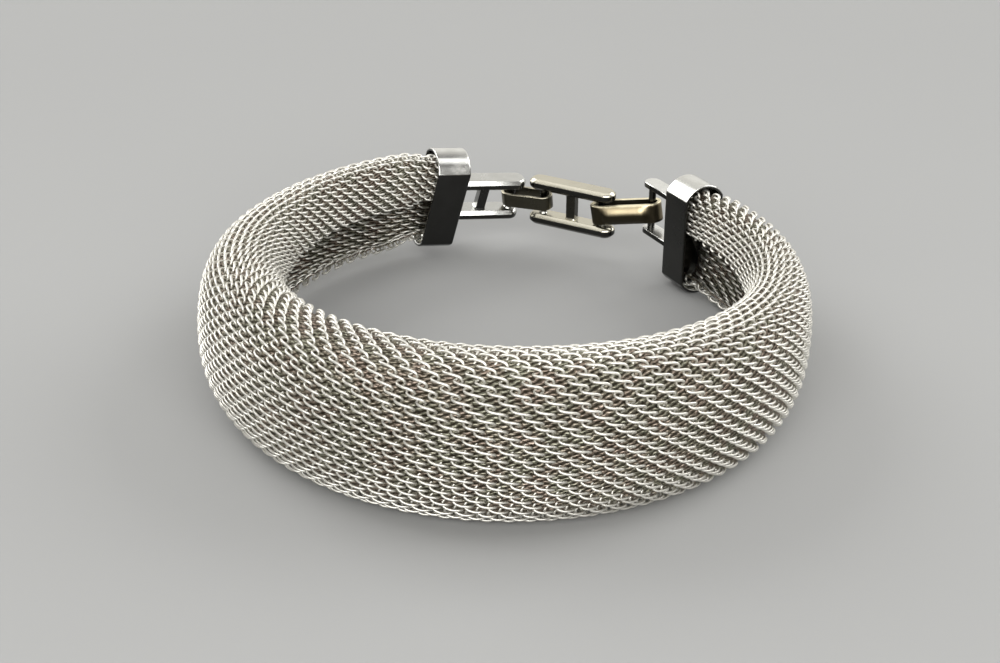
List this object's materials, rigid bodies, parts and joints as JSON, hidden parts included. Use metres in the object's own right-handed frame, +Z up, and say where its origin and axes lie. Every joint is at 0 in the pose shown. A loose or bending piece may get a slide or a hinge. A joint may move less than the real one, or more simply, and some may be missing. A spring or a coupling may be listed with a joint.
{
  "type": "woven wire mesh bracelet with a ladder clasp",
  "caption": "Soft rolled band of woven metal wire, closed at the back by polished end caps, ladder links and a fold-over clip.",
  "frame": {"origin": "centre of the whole outline in plan, at the surface the bracelet lies on", "axes": "+Z up across the width of the band, +Y from the middle of the band towards the clasp, +X to the right seen from the front of the band"},
  "size_m": [0.0658, 0.0682, 0.0175],
  "materials": {
    "woven_wire": "bright drawn wire, warm silver, slightly worn",
    "polished_metal": "mirror polished plating",
    "link_metal": "polished plating with worn, slightly golden edges",
    "clip_brass": "worn plating over brass"
  },
  "bodies": {
    "root": {"mesh_band": "woven_wire", "end_cap_left": "polished_metal", "end_cap_right": "polished_metal", "connector_loop": "link_metal", "ladder_link": "link_metal", "clasp_clip": "clip_brass", "hinge_pin": "link_metal"}
  },
  "joints": []
}
